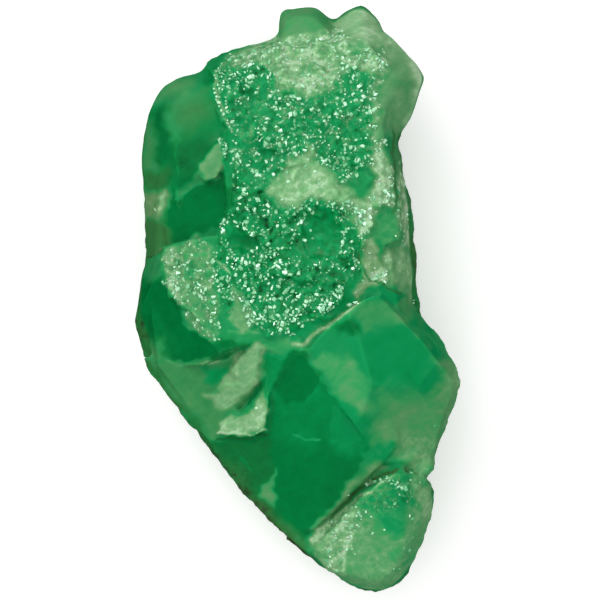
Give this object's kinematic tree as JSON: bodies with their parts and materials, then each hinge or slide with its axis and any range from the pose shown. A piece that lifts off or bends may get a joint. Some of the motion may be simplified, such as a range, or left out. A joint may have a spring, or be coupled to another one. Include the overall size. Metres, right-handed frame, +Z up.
{
  "type": "rough emerald",
  "caption": "Rough, uncut emerald: a lump of green beryl with flat crystal faces, sugary broken patches, pale ledges and a crevice, lying on its flattest side.",
  "frame": {"origin": "middle of the bounding box, on the flat break that the stone rests on", "axes": "+Z up from the resting face, +Y along the stone towards the end with the two knobs, +X across it"},
  "size_m": [0.0328, 0.059, 0.0206],
  "materials": {
    "beryl": "cloudy translucent green beryl, glassy on the crystal faces and sugary where it is broken"
  },
  "bodies": {
    "root": {"emerald": "beryl"}
  },
  "joints": []
}
